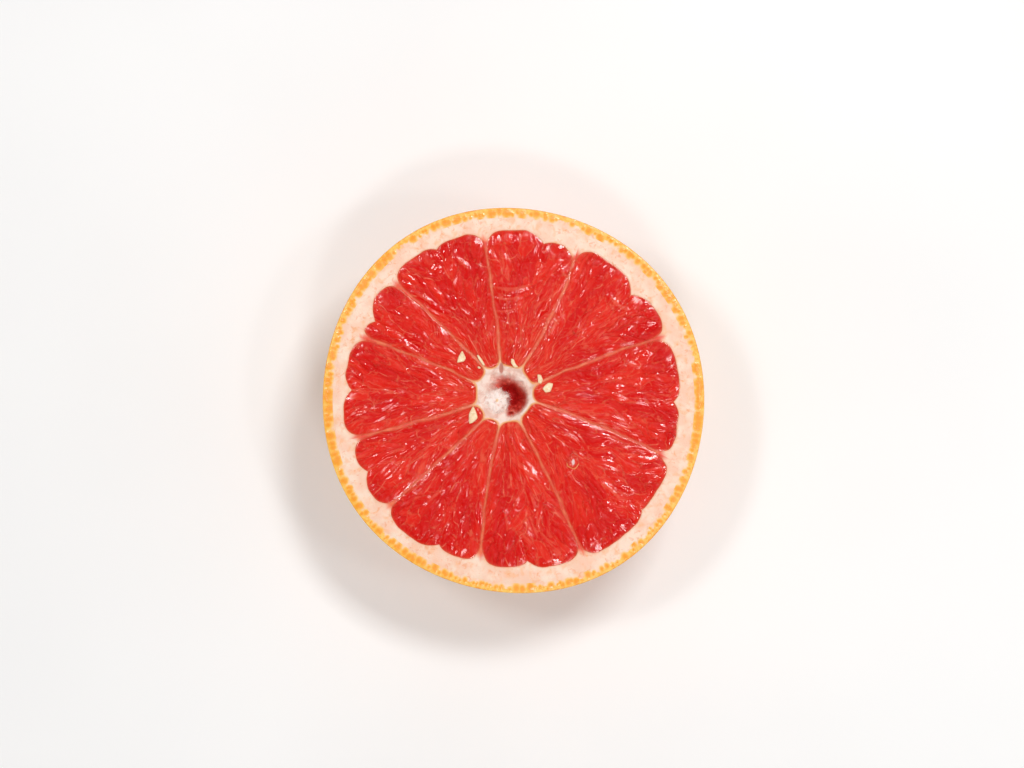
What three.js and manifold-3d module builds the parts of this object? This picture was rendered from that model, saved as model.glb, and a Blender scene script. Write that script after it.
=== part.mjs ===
// Half of a red grapefruit, cut across its equator and lying on its rind with the cut face up.
// Millimetres, +Z up. The origin is on the surface that it rests on, under the middle of the fruit.
//
// Rind, pith, membranes, pulp, core and seeds grew together as one piece, so the half is one solid.
// Its cut face carries the real relief: a flat ring of pith, ten thin membranes that run from the
// core to the pith, ten lobed segments of pulp between them covered in juice vesicles, the spongy
// core with its hollow, and the small undeveloped seeds round it.
import * as THREE from 'three';
import { mergeVertices } from 'three/addons/utils/BufferGeometryUtils.js';
import Module from 'manifold-3d';

const wasm = await Module();
wasm.setup();

// The half as a whole
const EQUATOR_RADIUS = 55;
const HEIGHT = 51; // from the resting spot to the cut face
const REST_RADIUS = 10; // the small flat spot that it rests on
const RIND_THICKNESS = 1.3; // the coloured skin outside the pith
const SCAR_RADIUS = 2.2; // the mark that the flower's style left, in the middle of the flat spot
const SCAR_DEPTH = 0.6;
const RIM_BREAK = 0.3; // the tiny bevel where the knife left the skin
const RIND_COLUMNS = 84;
const RIND_RINGS = 13;

// The cut face
const CORE_CENTRE = new THREE.Vector2(-2.5, 1.9); // the core is a little off the fruit's middle
const CORE_RADIUS = 8.1; // from the core's centre to the inner ends of the segments
const CUSP_RADIUS = 10.1; // from the core's centre to where each membrane leaves it
const NECK_RADIUS = 46; // from the fruit's middle to where each membrane widens into the pith
const MEMBRANE_THICKNESS = 0.75;
const OUTER_ROUNDING = 5.6; // how softly a segment's outer corners are rounded
const SIDE_ROUNDING = 1.2;
const INNER_ROUNDING = 2.4;
const OUTLINE_POINTS = 44;

// The membranes, anticlockwise: the angle at which each leaves the core, seen from the core's centre,
// the angle at which it meets the pith, seen from the fruit's middle, and how far it bows to its left.
const MEMBRANES = [
  { core: 14, pith: 22, bow: 1.3 },
  { core: 57, pith: 67.8, bow: -2 },
  { core: 99, pith: 100.4, bow: -0.7 },
  { core: 126, pith: 135.6, bow: -0.5 },
  { core: 160, pith: 157.6, bow: -0.6 },
  { core: 200, pith: 193.4, bow: 0.5 },
  { core: 232, pith: 220.4, bow: 0.4 },
  { core: 262, pith: 259.2, bow: -1.3 },
  { core: 299, pith: 294.2, bow: 0.6 },
  { core: 346, pith: 338.8, bow: 1.2 },
];

// The segment after each membrane ends in two lobes with a notch between them: the radius of the
// first lobe, the angle and radius of the notch, and the radius of the second lobe.
const LOBES = [
  { first: 47.9, notchAngle: 42, notch: 45, second: 47.9 },
  { first: 46.3, notchAngle: 79, notch: 45.4, second: 48.6 },
  { first: 49.2, notchAngle: 117, notch: 48.2, second: 49.7 },
  { first: 49.4, notchAngle: 150.3, notch: 45.4, second: 48.2 },
  { first: 48.5, notchAngle: 176.3, notch: 46.2, second: 48.6 },
  { first: 47.7, notchAngle: 206, notch: 46.2, second: 48.6 },
  { first: 48.8, notchAngle: 242.7, notch: 46.2, second: 47.3 },
  { first: 47.5, notchAngle: 275, notch: 45.9, second: 48.6 },
  { first: 49.6, notchAngle: 319.5, notch: 48, second: 48.3 },
  { first: 47.3, notchAngle: 359.5, notch: 45.6, second: 47.7 },
];

// The pulp's relief
const VESICLE_ROWS = 7;
const VESICLE_TURN = 4.1; // degrees of a segment's width to each vesicle
const VALLEY = -0.65; // between vesicles, from the cut face
const INNER_CREST = 0.1; // a vesicle's slim end, towards the core
const OUTER_CREST = 0.65; // its full end, towards the rind
const EDGE_SINK = 0.75; // where the pulp meets membrane and pith
const EDGE_WIDTH = 2.4; // the pulp rises from there over this distance
const PULP_ROOT = 3; // how far the pulp reaches below the cut face into the half

// The core: a funnel that deepens to a hollow on one side, with a mound on the other
const HOLLOW_OFFSET = new THREE.Vector2(2.9, -1.7);
const HOLLOW_LENGTH = 5.6;
const HOLLOW_WIDTH = 3.9;
const HOLLOW_ANGLE = -48;
const HOLLOW_DEPTH = 10;
const CORE_SINK = 0.7;
const MOUND_OFFSET = new THREE.Vector2(-1.7, -2);
const MOUND_RADIUS = 2.6;
const MOUND_HEIGHT = 1.1;
const CORE_COLUMNS = 4; // between two membranes
const CORE_RINGS = 6;

// Seeds, none of them full: where each lies from the fruit's middle, its length and width, and the
// angle that it points along.
const SEEDS = [
  { x: -14.9, y: 12.7, length: 3.7, width: 2.5, angle: 80 },
  { x: -8.9, y: 11.7, length: 2.8, width: 1.2, angle: 125 },
  { x: 0.3, y: 10.5, length: 2.8, width: 1.5, angle: 115 },
  { x: 7.5, y: 6.3, length: 2.5, width: 1.6, angle: 100 },
  { x: 9.8, y: 3.9, length: 3.3, width: 2.9, angle: 50 },
  { x: -11.5, y: -4, length: 4.7, width: 2.6, angle: 80 },
  { x: 16.4, y: -17.6, length: 3.2, width: 1.7, angle: 40 },
];
const SEED_RISE = 0.9;

const COLOURS = {
  rind: new THREE.Color('#f39a2b'),
  pith: new THREE.Color('#fadcc8'),
  pulp: new THREE.Color('#d6211b'),
  seed: new THREE.Color('#ecd9a0'),
};

// A repeatable stream of numbers from 0 to 1.
function seededRandom(seed) {
  let state = seed;
  return () => {
    state = (state * 1664525 + 1013904223) >>> 0;
    return state / 2 ** 32;
  };
}

const radians = THREE.MathUtils.degToRad;
const smoothstep = THREE.MathUtils.smoothstep;

function polar(radius, degrees) {
  return new THREE.Vector2(radius * Math.cos(radians(degrees)), radius * Math.sin(radians(degrees)));
}

// The lesser of a and b, with the corner between them rounded over the width k.
function smoothMin(a, b, k) {
  const blend = Math.max(k - Math.abs(a - b), 0) / k;
  return Math.min(a, b) - (blend * blend * k) / 4;
}

// The fruit isn't quite round: its radius at the equator swells twice, and less so four times, in a turn.
function rindRadius(angle) {
  const twice = 0.55 * Math.cos(2 * (angle - radians(122)));
  const fourTimes = 0.4 * Math.cos(4 * (angle - radians(34)));
  return EQUATOR_RADIUS + twice + fourTimes;
}

// A membrane's middle line, a parabola from inside the core to inside the pith, at the share s of its length.
function membranePoint(index, s) {
  const { core, pith, bow } = MEMBRANES[(index + MEMBRANES.length) % MEMBRANES.length];
  const start = CORE_CENTRE.clone().add(polar(CUSP_RADIUS - 3, core));
  const end = polar(NECK_RADIUS + 6, pith);
  const side = end.clone().sub(start).normalize().rotateAround(new THREE.Vector2(), Math.PI / 2);
  return start.lerp(end, s).addScaledVector(side, 4 * s * (1 - s) * bow);
}

const MEMBRANE_LINES = MEMBRANES.map((_, index) =>
  Array.from({ length: 25 }, (__, i) => membranePoint(index, i / 24)),
);

// Distance from a point to a line of points, positive on its left.
function sideDistance(point, line) {
  let nearest = Infinity;
  let side = 1;
  for (let i = 0; i + 1 < line.length; i++) {
    const step = line[i + 1].clone().sub(line[i]);
    const from = point.clone().sub(line[i]);
    const share = THREE.MathUtils.clamp(from.dot(step) / step.lengthSq(), 0, 1);
    const distance = from.clone().addScaledVector(step, -share).length();
    if (distance < nearest) {
      nearest = distance;
      side = Math.sign(step.cross(from)) || 1;
    }
  }
  return nearest * side;
}

// How far the segment reaches from the fruit's middle: two lobes, with a notch cut between them.
function lobeRadius(index, angle) {
  const { first, notchAngle, notch, second } = LOBES[index];
  const turned = THREE.MathUtils.euclideanModulo(angle - radians(notchAngle) + Math.PI, 2 * Math.PI) - Math.PI;
  const lobe = turned < 0 ? first : second;
  const drop = lobe - notch;
  const notchWidth = 2 + 1.3 * drop;
  const closeness = Math.max(0, 1 - (Math.abs(turned) * notch) / notchWidth);
  return lobe - drop * closeness ** 2;
}

// How far inside the segment's outline a point lies, negative outside it.
function depthInside(index, point) {
  const next = (index + 1) % MEMBRANES.length;
  const right = sideDistance(point, MEMBRANE_LINES[index]) - MEMBRANE_THICKNESS / 2;
  const left = -sideDistance(point, MEMBRANE_LINES[next]) - MEMBRANE_THICKNESS / 2;
  const outer = lobeRadius(index, point.angle()) - point.length();
  const inner = point.distanceTo(CORE_CENTRE) - CORE_RADIUS;
  const sides = smoothMin(right, left, SIDE_ROUNDING);
  return smoothMin(smoothMin(sides, outer, OUTER_ROUNDING), inner, INNER_ROUNDING);
}

// The angle between a segment's two membranes at the pith.
function segmentTurn(index) {
  const next = MEMBRANES[(index + 1) % MEMBRANES.length];
  return THREE.MathUtils.euclideanModulo(next.pith - MEMBRANES[index].pith, 360);
}

// The segment's outline, found by walking out from its middle to where the depth falls to the level.
function segmentOutline(index, level = 0) {
  const step = 0.25;
  const middle = polar(30, MEMBRANES[index].pith + segmentTurn(index) / 2);
  return Array.from({ length: OUTLINE_POINTS }, (_, i) => {
    const direction = polar(1, (360 * i) / OUTLINE_POINTS);
    const at = (reach) => middle.clone().addScaledVector(direction, reach);
    let low = 0;
    while (depthInside(index, at(low + step)) > level) low += step;
    let high = low + step;
    for (let halving = 0; halving < 16; halving++) {
      const half = (low + high) / 2;
      if (depthInside(index, at(half)) > level) low = half;
      else high = half;
    }
    return at(low);
  });
}

// A closed three.js geometry as a solid for joining and cutting.
function toSolid(geometry) {
  const bare = new THREE.BufferGeometry();
  bare.setAttribute('position', geometry.getAttribute('position'));
  if (geometry.index) bare.setIndex(geometry.index);
  const merged = mergeVertices(bare, 1e-4);
  return new wasm.Manifold(
    new wasm.Mesh({
      numProp: 3,
      vertProperties: new Float32Array(merged.getAttribute('position').array),
      triVerts: new Uint32Array(merged.index.array),
    }),
  );
}

// An upright prism of an outline.
function prism(outline, bottom, top) {
  const geometry = new THREE.ExtrudeGeometry(new THREE.Shape(outline), {
    depth: top - bottom,
    bevelEnabled: false,
  });
  return toSolid(geometry.translate(0, 0, bottom));
}

// A relief, given as points and triangles, closed by a flat copy of itself at the given height.
function slab(points, triangles, level) {
  const count = points.length;
  const walls = new Map();
  for (const [a, b, c] of triangles) {
    for (const [from, to] of [[a, b], [b, c], [c, a]]) {
      if (!walls.delete(`${to} ${from}`)) walls.set(`${from} ${to}`, [from, to]);
    }
  }
  const faces = triangles.flatMap(([a, b, c]) => [a, b, c, count + a, count + c, count + b]);
  for (const [from, to] of walls.values()) faces.push(to, from, count + from, to, count + from, count + to);
  const corners = [...points, ...points.map((p) => new THREE.Vector3(p.x, p.y, level))];
  return toSolid(new THREE.BufferGeometry().setFromPoints(corners).setIndex(faces));
}

// The uncut shape: an ellipse turned about the axis, flat where it rests, with its rind a little out of round.
function bowl() {
  const restAngle = Math.asin(REST_RADIUS / EQUATOR_RADIUS);
  const halfAxis = HEIGHT / Math.cos(restAngle);
  const profile = [
    new THREE.Vector2(0, SCAR_DEPTH),
    new THREE.Vector2(SCAR_RADIUS * 0.6, SCAR_DEPTH),
    new THREE.Vector2(SCAR_RADIUS, 0),
  ];
  for (let ring = 0; ring <= RIND_RINGS; ring++) {
    const angle = THREE.MathUtils.lerp(restAngle, Math.PI / 2 - RIM_BREAK / HEIGHT, ring / RIND_RINGS);
    profile.push(new THREE.Vector2(EQUATOR_RADIUS * Math.sin(angle), HEIGHT - halfAxis * Math.cos(angle)));
  }
  profile.push(new THREE.Vector2(EQUATOR_RADIUS - RIM_BREAK, HEIGHT), new THREE.Vector2(0, HEIGHT));
  const geometry = new THREE.LatheGeometry(profile, RIND_COLUMNS).rotateX(Math.PI / 2);
  const position = geometry.getAttribute('position');
  for (let i = 0; i < position.count; i++) {
    const x = position.getX(i);
    const y = position.getY(i);
    const share = (Math.hypot(x, y) / EQUATOR_RADIUS) ** 2;
    const swell = 1 + share * (rindRadius(Math.atan2(y, x)) / EQUATOR_RADIUS - 1);
    position.setXY(i, x * swell, y * swell);
  }
  return toSolid(geometry);
}

// Where the pulp's surface lies above a point of a segment, for a given height in its middle.
function pulpHeight(index, point, height) {
  const rise = smoothstep(depthInside(index, point), 0, EDGE_WIDTH);
  return HEIGHT - EDGE_SINK + (EDGE_SINK + height) * rise;
}

// One segment's vesicles, packed like long bricks whose ends interlock, from the core to the rind.
// Each has six corners in the valley and a crest that is higher at its outer end.
function vesicleSheet(index) {
  const random = seededRandom(7919 * (index + 1));
  const columns = 2 * Math.round(segmentTurn(index) / VESICLE_TURN);
  const spread = 1.14; // the sheet reaches this far past the membranes' lines, and is trimmed to the outline
  const shareAt = (row) => -0.1 + 1.16 * (row / VESICLE_ROWS) ** 0.86;
  const points = [];
  const triangles = [];
  const place = (row, column, height, jitter) => {
    const s = shareAt(Math.max(0, row + jitter * (random() - 0.5)));
    const t = (column + 2 * jitter * (random() - 0.5)) / columns;
    const right = membranePoint(index, s);
    const left = membranePoint(index + 1, s);
    const across = 0.5 + spread * (t - 0.5);
    const flat = right.lerp(left, across);
    flat.multiplyScalar(1 + 0.05 * s * s * (1 - (2 * t - 1) ** 2));
    points.push(new THREE.Vector3(flat.x, flat.y, pulpHeight(index, flat, height)));
    return points.length - 1;
  };
  const zigzag = (row, column) => row + ((row + column) % 2 ? -0.2 : 0.2);
  const corner = Array.from({ length: VESICLE_ROWS + 1 }, (_, row) =>
    Array.from({ length: columns + 1 }, (__, column) =>
      place(zigzag(row, column), column, VALLEY + 0.2 * (random() - 0.5), 0.32),
    ),
  );
  for (let row = 0; row < VESICLE_ROWS; row++) {
    for (let column = (row + 1) % 2; column <= columns; column += 2) {
      const lift = 0.3 * (random() - 0.5);
      const inner = corner[row];
      const outer = corner[row + 1];
      if (column === 0 || column === columns) {
        const beside = column === 0 ? 1 : columns - 1;
        const [a, b] = column === 0 ? [column, beside] : [beside, column];
        triangles.push([inner[a], outer[b], inner[b]], [inner[a], outer[a], outer[b]]);
        continue;
      }
      const [before, after] = [column - 1, column + 1];
      const slim = place(row + 0.3, column, INNER_CREST + lift, 0.1);
      const full = place(row + 0.78, column, OUTER_CREST + lift, 0.1);
      triangles.push(
        [slim, inner[column], inner[before]],
        [slim, inner[after], inner[column]],
        [full, outer[before], outer[column]],
        [full, outer[column], outer[after]],
        [slim, inner[before], outer[before]],
        [slim, outer[before], full],
        [slim, full, outer[after]],
        [slim, outer[after], inner[after]],
      );
    }
  }
  return slab(points, triangles, HEIGHT - PULP_ROOT - 1);
}

// Where the core's spongy surface lies, from the core's centre: sunk a little at its rim, falling to the
// hollow on one side and rising to the mound on the other.
function coreHeight(offset) {
  const fromHollow = offset.clone().sub(HOLLOW_OFFSET).rotateAround(new THREE.Vector2(), -radians(HOLLOW_ANGLE));
  const hollow = 1 - smoothstep(Math.hypot(fromHollow.x / HOLLOW_LENGTH, fromHollow.y / HOLLOW_WIDTH), 0.25, 1);
  const mound = 1 - smoothstep(offset.distanceTo(MOUND_OFFSET), 0.5, MOUND_RADIUS);
  return HEIGHT - CORE_SINK - HOLLOW_DEPTH * hollow * (1 - mound) + (MOUND_HEIGHT - CORE_SINK) * mound;
}

// What is open above the core's surface, reaching out in a point at each membrane.
function coreOpening() {
  const rim = MEMBRANES.flatMap(({ core }, index) => {
    const next = MEMBRANES[(index + 1) % MEMBRANES.length].core;
    const turn = THREE.MathUtils.euclideanModulo(next - core, 360);
    return Array.from({ length: CORE_COLUMNS }, (_, i) =>
      polar(CORE_RADIUS + (i === 0 ? 0.9 : -0.7), core + (turn * i) / CORE_COLUMNS),
    );
  });
  const points = [new THREE.Vector3(CORE_CENTRE.x, CORE_CENTRE.y, coreHeight(new THREE.Vector2()))];
  const triangles = [];
  for (let ring = 1; ring <= CORE_RINGS; ring++) {
    rim.forEach((edge, column) => {
      const offset = edge.clone().multiplyScalar(ring / CORE_RINGS);
      const flat = CORE_CENTRE.clone().add(offset);
      points.push(new THREE.Vector3(flat.x, flat.y, coreHeight(offset)));
      const here = 1 + (ring - 1) * rim.length + column;
      const beside = 1 + (ring - 1) * rim.length + ((column + 1) % rim.length);
      if (ring === 1) triangles.push([0, beside, here]);
      else triangles.push([here - rim.length, beside, here], [here - rim.length, beside - rim.length, beside]);
    });
  }
  return slab(points, triangles, HEIGHT + 3);
}

// A pocket of the segment's outline, filled again with vesicles that are trimmed to a hair past its walls.
function cutSegment(body, index) {
  const pocket = prism(segmentOutline(index), HEIGHT - PULP_ROOT + 0.5, HEIGHT + 3);
  const trim = prism(segmentOutline(index, -0.12), HEIGHT - PULP_ROOT, HEIGHT + 3);
  return body.subtract(pocket).add(vesicleSheet(index).intersect(trim));
}

// A flat drop, pointed at one end and half sunk in the cut face.
function seed({ x, y, length, width, angle }) {
  const geometry = new THREE.SphereGeometry(0.5, 8, 6).rotateX(Math.PI / 2);
  const position = geometry.getAttribute('position');
  for (let i = 0; i < position.count; i++) {
    const taper = 1 - 0.9 * position.getX(i);
    position.setXYZ(i, position.getX(i) * length, position.getY(i) * width * taper, position.getZ(i) * 2 * SEED_RISE);
  }
  return toSolid(geometry.rotateZ(radians(angle)).translate(x, y, HEIGHT + 0.1));
}

function halfFruit() {
  let body = bowl();
  MEMBRANES.forEach((_, index) => {
    body = cutSegment(body, index);
  });
  body = body.subtract(coreOpening());
  return SEEDS.reduce((solid, entry) => solid.add(seed(entry)), body);
}

// The colour of the face at a point, by what is cut open there.
function colourAt(point) {
  const flat = new THREE.Vector2(point.x, point.y);
  const onRind = point.z < HEIGHT - 1.5 || flat.length() > rindRadius(flat.angle()) - RIND_THICKNESS;
  if (flat.distanceTo(CORE_CENTRE) < CORE_RADIUS) return COLOURS.pith;
  if (SEEDS.some(({ x, y, width }) => Math.hypot(x - flat.x, y - flat.y) < width / 2)) return COLOURS.seed;
  if (onRind) return COLOURS.rind;
  return MEMBRANES.some((_, index) => depthInside(index, flat) > 0) ? COLOURS.pulp : COLOURS.pith;
}

// The solid as a coloured mesh, one colour to each face.
function toMesh(name, solid) {
  const { vertProperties, triVerts } = solid.getMesh();
  const indexed = new THREE.BufferGeometry();
  indexed.setAttribute('position', new THREE.BufferAttribute(vertProperties, 3));
  indexed.setIndex(new THREE.BufferAttribute(triVerts, 1));
  const geometry = indexed.toNonIndexed();
  const position = geometry.getAttribute('position');
  const colours = new Float32Array(position.count * 3);
  for (let i = 0; i < position.count; i += 3) {
    const corners = [0, 1, 2].map((j) => new THREE.Vector3().fromBufferAttribute(position, i + j));
    const middle = corners[0].clone().add(corners[1]).add(corners[2]).divideScalar(3);
    const colour = colourAt(middle);
    for (let j = 0; j < 3; j++) colour.toArray(colours, 3 * (i + j));
  }
  geometry.setAttribute('color', new THREE.BufferAttribute(colours, 3));
  geometry.computeVertexNormals();
  const material = new THREE.MeshStandardMaterial({ vertexColors: true, roughness: 0.35, metalness: 0 });
  const mesh = new THREE.Mesh(geometry, material);
  mesh.name = name;
  return mesh;
}

const group = new THREE.Group();
group.add(toMesh('grapefruit_half', halfFruit()));

export default group;
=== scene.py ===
"""Half of a red grapefruit, cut across its equator and lying on its rind with the cut face up.

Shapes are worked out in millimetres, as functions of two parameters on grids, and go into the
meshes in metres. The face is planned flat first: ten membranes run from the core to the pith, and
two neighbours, with the pith's lobes outside and the core inside, bound one segment of pulp.
"""

import math

import bmesh
import bpy
import numpy as np
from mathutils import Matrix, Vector


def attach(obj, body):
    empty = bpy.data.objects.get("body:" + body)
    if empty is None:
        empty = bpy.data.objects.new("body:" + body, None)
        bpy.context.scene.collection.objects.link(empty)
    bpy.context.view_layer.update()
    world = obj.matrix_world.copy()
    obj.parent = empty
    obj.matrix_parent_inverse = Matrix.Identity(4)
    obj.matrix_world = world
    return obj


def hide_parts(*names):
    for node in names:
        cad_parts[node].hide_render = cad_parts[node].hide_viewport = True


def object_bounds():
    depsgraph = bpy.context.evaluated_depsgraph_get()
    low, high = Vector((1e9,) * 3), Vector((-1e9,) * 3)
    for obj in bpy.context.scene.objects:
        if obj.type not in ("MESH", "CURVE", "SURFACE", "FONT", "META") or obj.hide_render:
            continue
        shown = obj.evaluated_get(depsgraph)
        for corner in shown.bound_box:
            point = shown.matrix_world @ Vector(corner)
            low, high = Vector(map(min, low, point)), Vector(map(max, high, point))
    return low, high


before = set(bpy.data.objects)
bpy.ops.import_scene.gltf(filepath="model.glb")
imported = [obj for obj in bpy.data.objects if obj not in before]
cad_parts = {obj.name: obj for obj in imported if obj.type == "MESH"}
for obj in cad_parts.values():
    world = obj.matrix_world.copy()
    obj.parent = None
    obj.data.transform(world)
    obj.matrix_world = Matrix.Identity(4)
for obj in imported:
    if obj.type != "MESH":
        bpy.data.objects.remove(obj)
CAD_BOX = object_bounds()
MM = 0.001

# The half as a whole, in millimetres. The seeds stand highest, so the cut face is that much lower.
SEED_RISE = 1.0
FACE = CAD_BOX[1].z / MM - SEED_RISE
EQUATOR_RADIUS = 54.95
REST_RADIUS = 10.0
SCAR_RADIUS = 2.2
SCAR_DEPTH = 0.6

# The plan of the cut face
CORE_CENTRE = np.array([-2.5, 1.9])
CORE_RADIUS = 8.1  # from the core's centre to the inner ends of the segments
CORE_EDGE = 7.3  # from there to where the spongy middle begins
CUSP_RADIUS = 10.1  # from there to where each membrane leaves the core
NECK_RADIUS = 46.0  # from the fruit's middle to where each membrane widens into the pith
MEMBRANE = 0.42
OUTER_ROUNDING = 5.6
SIDE_ROUNDING = 1.2
INNER_ROUNDING = 2.4
WOBBLE = 0.16  # how far the outline of the pulp wanders where vesicles press against it
SKIN_BAND = 2.9  # the ring of the cut in which skin and oil glands show
RIM_ROUNDING = 0.3

# Each membrane: its angle at the core, its angle at the pith, and how far it bows to its left
MEMBRANES = [
    (14, 22.0, 1.3), (57, 67.8, -2.0), (99, 100.4, -0.7), (126, 135.6, -0.5), (160, 157.6, -0.6),
    (200, 193.4, 0.5), (232, 220.4, 0.4), (262, 259.2, -1.3), (299, 294.2, 0.6), (346, 338.8, 1.2),
]

# Each segment's outer end: first lobe's radius, notch's angle and radius, second lobe's radius,
# and how far a faint dividing line runs inwards from the notch
LOBES = [
    (47.9, 42.0, 45.0, 47.9, 13), (46.3, 79.0, 45.4, 48.6, 7), (49.2, 117.0, 48.2, 49.7, 3),
    (49.4, 150.3, 45.4, 48.2, 15), (48.5, 176.3, 46.2, 48.6, 12), (47.7, 206.0, 46.2, 48.6, 9),
    (48.8, 242.7, 46.2, 47.3, 9), (47.5, 275.0, 45.9, 48.6, 6), (49.6, 319.5, 48.0, 48.3, 4),
    (47.3, 359.5, 45.6, 47.7, 10),
]
SEGMENTS = range(len(MEMBRANES))

# How fine the grids are, in millimetres between points
PULP_STEP = 0.205
PITH_STEP = 0.24
CORE_STEP = 0.11
SKIN_STEP = 0.47

CORE_SINK = 0.55  # how much lower the face lies at the core
PULP_SINK = 0.06  # where the pulp meets membrane and pith
PULP_CREST = 0.95  # no vesicle stands higher above the cut
UNDER_PITH = 0.12  # how far the pulp goes on beneath the pith's edge
SKIRT = 2.2  # how far the pulp and the pith's walls reach below the cut

# Where the pith's rings of points lie, as shares of the way from a segment's outline outwards
PITH_SHARES = np.array([0, 0, 0.004, 0.01, 0.04, 0.09, 0.15, 0.22, 0.31, 0.42, 0.54, 0.66, 0.78, 0.89, 1.0])


def circle_point(radius, angle):
    """The point at a radius and an angle: radius times cosine and sine."""
    return np.stack([radius * np.cos(angle), radius * np.sin(angle)], -1)


def polar(radius, degrees):
    """The same for an angle in degrees."""
    return circle_point(radius, np.radians(degrees))


def turned(vectors, angle):
    """Vectors turned to the left by an angle: x cos - y sin and x sin + y cos."""
    x, y = vectors[..., 0], vectors[..., 1]
    cos, sin = np.cos(angle), np.sin(angle)
    return np.stack([x * cos - y * sin, x * sin + y * cos], -1)


def to_left(vector):
    """A vector turned to the left by a quarter turn."""
    return np.array([-vector[1], vector[0]])


def angle_of(points):
    """The angle at which points lie round the origin."""
    return np.arctan2(points[..., 1], points[..., 0])


def length_of(points):
    """How far points lie from the origin: the root of x^2 + y^2."""
    return np.hypot(points[..., 0], points[..., 1])


def smoothstep(low, high, value):
    """0 below low and 1 above high, with 3t^2 - 2t^3 between."""
    t = np.clip((value - low) / (high - low), 0, 1)
    return t * t * (3 - 2 * t)


def smooth_min(a, b, k):
    """The lesser of a and b, lowered by h^2 k / 4 where they are within k of each other."""
    h = np.maximum(k - np.abs(a - b), 0) / k
    return np.minimum(a, b) - h * h * k / 4


def noise(points, cell, seed):
    """Smooth noise from -1 to 1 on the plane: random values on a square lattice, blended between
    the four corners round each point with the weight 3t^2 - 2t^3."""
    values = np.random.default_rng(seed).uniform(-1, 1, (256, 256))
    scaled = points / cell
    corner = np.floor(scaled).astype(int)
    t = scaled - corner
    t = t * t * (3 - 2 * t)
    i, j = corner[..., 0] % 256, corner[..., 1] % 256
    i_next, j_next = (i + 1) % 256, (j + 1) % 256
    near = values[i, j] * (1 - t[..., 0]) + values[i_next, j] * t[..., 0]
    far = values[i, j_next] * (1 - t[..., 0]) + values[i_next, j_next] * t[..., 0]
    return near * (1 - t[..., 1]) + far * t[..., 1]


def layered_noise(points, cell, seed, layers=3):
    """Sum of noise, each layer with half the cell and half the height of the one before."""
    return sum(noise(points, cell / 2**n, seed + n) / 2**n for n in range(layers))


def wander(points, cell, seed, layers=1):
    """Two layered noises as a vector by which points are moved."""
    return np.stack([layered_noise(points, cell, seed + n * layers, layers) for n in (0, 1)], -1)


def cut_grain(points):
    """The unevenness that the knife leaves in pith and skin: fine grain on a long low swell."""
    return 0.035 * layered_noise(points, 1.1, 11) + 0.08 * noise(points, 9.0, 12)


def rind_radius(angle):
    """The fruit's outline: its radius swells twice, and less so four times, in a turn."""
    twice = 0.55 * np.cos(2 * (angle - math.radians(122)))
    four_times = 0.40 * np.cos(4 * (angle - math.radians(34)))
    return EQUATOR_RADIUS + twice + four_times


def membrane_line(k, reach=(-0.15, 1.12), count=32):
    """A membrane's middle: a straight line from the core to the pith plus a parabola that bows it."""
    core_angle, pith_angle, bow = MEMBRANES[k % len(MEMBRANES)]
    start = CORE_CENTRE + polar(CUSP_RADIUS - 3.0, core_angle)
    end = polar(NECK_RADIUS + 6.0, pith_angle)
    t = np.linspace(*reach, count)[:, None]
    left = to_left((end - start) / np.linalg.norm(end - start))
    return start + t * (end - start) + 4 * t * (1 - t) * bow * left


def side_distance(points, line):
    """Distance to a line of points, positive on its left: the least over its pieces, with the sign
    of the cross product at the nearest one."""
    nearest = np.full(points.shape[:-1], np.inf)
    side = np.ones(points.shape[:-1])
    for start, end in zip(line[:-1], line[1:]):
        step = end - start
        offset = points - start
        share = np.clip(offset @ step / (step @ step), 0, 1)
        distance = length_of(offset - share[..., None] * step)
        cross = step[0] * offset[..., 1] - step[1] * offset[..., 0]
        closer = distance < nearest
        nearest = np.where(closer, distance, nearest)
        side = np.where(closer, np.where(cross < 0, -1.0, 1.0), side)
    return nearest * side


def lobe_radius(k, angle):
    """How far a segment reaches outwards: two lobes, less a notch that falls off as (1 - arc/width)^2."""
    first, notch_angle, notch, second, _ = LOBES[k]
    from_notch = (angle - math.radians(notch_angle) + np.pi) % (2 * np.pi) - np.pi
    lobe = np.where(from_notch < 0, first, second)
    drop = lobe - notch
    closeness = np.maximum(0, 1 - np.abs(from_notch) * notch / (2.0 + 1.3 * drop))
    return lobe - drop * closeness**2


def sides(k, points):
    """Distances inwards from the right and the left membrane's middle, which wanders a little."""
    distance = length_of(points)[..., None]
    free = smoothstep(13, 19, distance) * (1 - smoothstep(37, 43, distance))
    moved = points + 0.34 * free * wander(points, 4.6, 18)
    return side_distance(moved, membrane_line(k)), -side_distance(moved, membrane_line(k + 1))


def segment_depth(k, points):
    """How far inside a segment's outline a point lies: the smooth least of its distances from both
    membranes, the lobes and the core."""
    right, left = sides(k, points)
    half_membrane = MEMBRANE / 2 * (1 + 0.55 * noise(points, 2.4, 17))
    depth = smooth_min(right - half_membrane, left - half_membrane, SIDE_ROUNDING)
    depth = smooth_min(depth, lobe_radius(k, angle_of(points)) - length_of(points), OUTER_ROUNDING)
    depth = smooth_min(depth, length_of(points - CORE_CENTRE) - CORE_RADIUS, INNER_ROUNDING)
    return depth + WOBBLE * smoothstep(14, 40, length_of(points)) * layered_noise(points, 3.4, 15, 2)


def sector_depth(k, points):
    """The same for the sector that the segment sits in, out to the middles of its membranes."""
    right, left = sides(k, points)
    outer = rind_radius(angle_of(points)) - SKIN_BAND - length_of(points)
    inner = length_of(points - CORE_CENTRE) - CORE_EDGE
    return np.minimum(np.minimum(right, left), np.minimum(outer, inner))


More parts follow.
